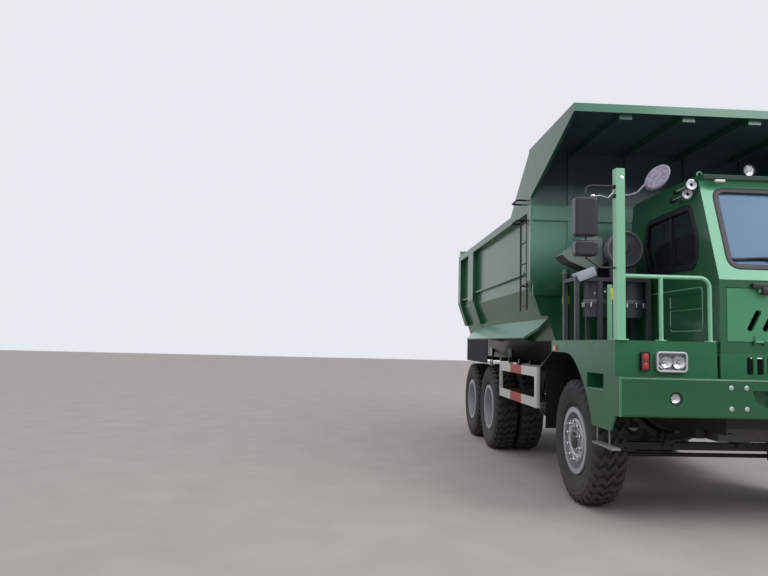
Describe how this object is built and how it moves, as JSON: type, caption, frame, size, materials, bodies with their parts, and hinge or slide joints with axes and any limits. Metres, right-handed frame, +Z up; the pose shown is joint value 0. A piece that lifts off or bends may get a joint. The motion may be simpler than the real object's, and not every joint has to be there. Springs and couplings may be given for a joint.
{
  "type": "three-axle heavy dump truck",
  "caption": "Heavy rigid dump truck: offset cab, full-width tipping body with a canopy over the cab, steered front axle and twin-wheel rear bogie.",
  "frame": {"origin": "on the ground, below the middle of the truck's length and width", "axes": "+X forward, +Y to the driver's left, +Z up"},
  "size_m": [8.15, 3.84, 4.33],
  "materials": {
    "green_paint": "glossy green paint",
    "frame_paint": "semi-gloss black chassis paint",
    "cast_grey": "grey cast housings",
    "chrome_rod": "polished rod",
    "rim_silver": "silver wheel paint",
    "tyre_rubber": "black tyre rubber",
    "flap_rubber": "flat black rubber",
    "guard_white": "white paint with a red middle",
    "tank_steel": "bright steel tank",
    "cab_panes": "blue-grey glass",
    "seat_cloth": "dark seat cloth",
    "dash_plastic": "dark moulded plastic",
    "lamp_lens": "clear lamp lens",
    "signal_lens": "red and orange lens",
    "horn_metal": "plated horn"
  },
  "bodies": {
    "chassis": {"axles": "frame_paint", "springs": "frame_paint", "bogie": "frame_paint", "frame_rails": "frame_paint", "crossmembers": "frame_paint", "driveline": "cast_grey", "bumper": "green_paint", "decks": "green_paint", "side_guards": "guard_white", "tanks": "tank_steel", "mud_flaps": "flap_rubber", "cab_floor": "green_paint", "cab_sides": "green_paint", "cab_rear": "green_paint", "cab_front": "green_paint", "cab_roof": "green_paint", "cab_glass": "cab_panes", "driver_seat": "seat_cloth", "dashboard": "dash_plastic", "headlamps": "lamp_lens", "signal_lamps": "signal_lens", "horns": "horn_metal", "deck_railing": "green_paint", "mirrors": "dash_plastic", "air_cleaner": "frame_paint"},
    "steering_rod": {"tie_rod": "frame_paint"},
    "load_body": {"bed_floor": "green_paint", "bed_sills": "green_paint", "bed_front_wall": "green_paint", "bed_canopy": "green_paint", "bed_wall_left": "green_paint", "bed_wall_right": "green_paint", "bed_mudguards": "green_paint", "bed_flaps": "flap_rubber", "bed_ladder": "frame_paint"},
    "gate": {"tailgate": "green_paint"},
    "door": {"cab_door": "green_paint", "door_glass": "cab_panes"},
    "hatch": {"front_hatch": "green_paint"},
    "knuckle_left": {"knuckle_left": "frame_paint"},
    "wheel_front_left": {"tyre_front_left": "tyre_rubber", "rim_front_left": "rim_silver"},
    "wheel_mid_left": {"tyres_mid_left": "tyre_rubber", "rims_mid_left": "rim_silver"},
    "wheel_rear_left": {"tyres_rear_left": "tyre_rubber", "rims_rear_left": "rim_silver"},
    "hoist_barrel_left": {"hoist_barrel_left": "frame_paint"},
    "hoist_rod_left": {"hoist_rod_left": "chrome_rod"},
    "knuckle_right": {"knuckle_right": "frame_paint"},
    "wheel_front_right": {"tyre_front_right": "tyre_rubber", "rim_front_right": "rim_silver"},
    "wheel_mid_right": {"tyres_mid_right": "tyre_rubber", "rims_mid_right": "rim_silver"},
    "wheel_rear_right": {"tyres_rear_right": "tyre_rubber", "rims_rear_right": "rim_silver"},
    "hoist_barrel_right": {"hoist_barrel_right": "frame_paint"},
    "hoist_rod_right": {"hoist_rod_right": "chrome_rod"}
  },
  "joints": [
    {"name": "steer_left", "type": "hinge", "parent": "chassis", "child": "knuckle_left", "pos_m": [2.625, 1.02, 0.684], "axis": [0, 0, 1], "range_deg": [-35, 35]},
    {"name": "spin_front_left", "type": "hinge", "parent": "knuckle_left", "child": "wheel_front_left", "pos_m": [2.625, 1.31, 0.684], "axis": [0, 1, 0], "continuous": true},
    {"name": "spin_mid_left", "type": "hinge", "parent": "chassis", "child": "wheel_mid_left", "pos_m": [-1.175, 1.25, 0.684], "axis": [0, 1, 0], "continuous": true},
    {"name": "spin_rear_left", "type": "hinge", "parent": "chassis", "child": "wheel_rear_left", "pos_m": [-2.675, 1.25, 0.684], "axis": [0, 1, 0], "continuous": true},
    {"name": "hoist_tilt_left", "type": "hinge", "parent": "chassis", "child": "hoist_barrel_left", "pos_m": [1.3, 0.23, 0.8], "axis": [0, 1, 0], "range_deg": [0, 19.15]},
    {"name": "hoist_slide_left", "type": "slide", "parent": "hoist_barrel_left", "child": "hoist_rod_left", "axis": [-0.9778, 0, 0.2095], "range_m": [0, 1.2543]},
    {"name": "steer_right", "type": "hinge", "parent": "chassis", "child": "knuckle_right", "pos_m": [2.625, -1.02, 0.684], "axis": [0, 0, 1], "range_deg": [-35, 35]},
    {"name": "spin_front_right", "type": "hinge", "parent": "knuckle_right", "child": "wheel_front_right", "pos_m": [2.625, -1.31, 0.684], "axis": [0, 1, 0], "continuous": true},
    {"name": "spin_mid_right", "type": "hinge", "parent": "chassis", "child": "wheel_mid_right", "pos_m": [-1.175, -1.25, 0.684], "axis": [0, 1, 0], "continuous": true},
    {"name": "spin_rear_right", "type": "hinge", "parent": "chassis", "child": "wheel_rear_right", "pos_m": [-2.675, -1.25, 0.684], "axis": [0, 1, 0], "continuous": true},
    {"name": "hoist_tilt_right", "type": "hinge", "parent": "chassis", "child": "hoist_barrel_right", "pos_m": [1.3, -0.23, 0.8], "axis": [0, 1, 0], "range_deg": [0, 19.15]},
    {"name": "hoist_slide_right", "type": "slide", "parent": "hoist_barrel_right", "child": "hoist_rod_right", "axis": [-0.9778, 0, 0.2095], "range_m": [0, 1.2543]},
    {"name": "steering_rod_slide", "type": "slide", "parent": "chassis", "child": "steering_rod", "axis": [0, -1, 0], "range_m": [-0.135, 0.135]},
    {"name": "body_tip", "type": "hinge", "parent": "chassis", "child": "load_body", "pos_m": [-3.55, 0, 1.33], "axis": [0, -1, 0], "range_deg": [0, 48]},
    {"name": "gate_swing", "type": "hinge", "parent": "load_body", "child": "gate", "pos_m": [-3.939, 0, 3.67], "axis": [0, 1, 0], "range_deg": [0, 60]},
    {"name": "door_swing", "type": "hinge", "parent": "chassis", "child": "door", "pos_m": [3.423, 1.493, 2.5], "axis": [0, 0, -1], "range_deg": [0, 70]},
    {"name": "hatch_swing", "type": "hinge", "parent": "chassis", "child": "hatch", "pos_m": [3.958, 0.4, 1.81], "axis": [0, 1, 0], "range_deg": [0, 85]}
  ],
  "couplings": [
    {"joint": "hoist_tilt_left", "follows": "body_tip", "ratio": 0.38865},
    {"joint": "hoist_slide_left", "follows": "body_tip", "m_per_rad": 1.4852},
    {"joint": "hoist_tilt_right", "follows": "body_tip", "ratio": 0.38865},
    {"joint": "hoist_slide_right", "follows": "body_tip", "m_per_rad": 1.4852},
    {"joint": "steer_right", "follows": "steer_left", "ratio": 1},
    {"joint": "steering_rod_slide", "follows": "steer_left", "m_per_rad": 0.21596}
  ]
}
